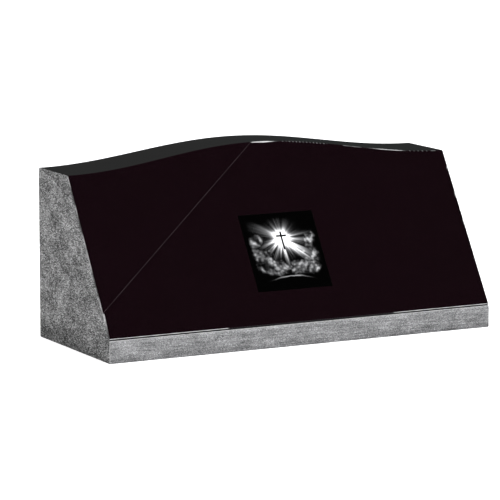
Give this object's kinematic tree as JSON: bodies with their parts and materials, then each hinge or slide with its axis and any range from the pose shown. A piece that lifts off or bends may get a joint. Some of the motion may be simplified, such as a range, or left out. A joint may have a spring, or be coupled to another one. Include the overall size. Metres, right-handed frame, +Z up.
{
  "type": "slant headstone",
  "caption": "Granite slant headstone: leaning polished face, serpentine top, upright back and low nose, with a square etched tile set flush in the face.",
  "frame": {"origin": "centre of the footprint, on the surface that the stone stands on", "axes": "+X along the width, left to right as seen from the front; -Y is the way that the polished face looks; +Z up"},
  "size_m": [0.914, 0.35, 0.408],
  "materials": {
    "black_granite": "polished near-black face and top; nose, sides and back steeled to a fine-grained grey",
    "etched_black_granite": "polished jet black, with a picture etched to a fine white frost"
  },
  "bodies": {
    "root": {"granite_block": "black_granite", "etched_tile": "etched_black_granite"}
  },
  "joints": []
}
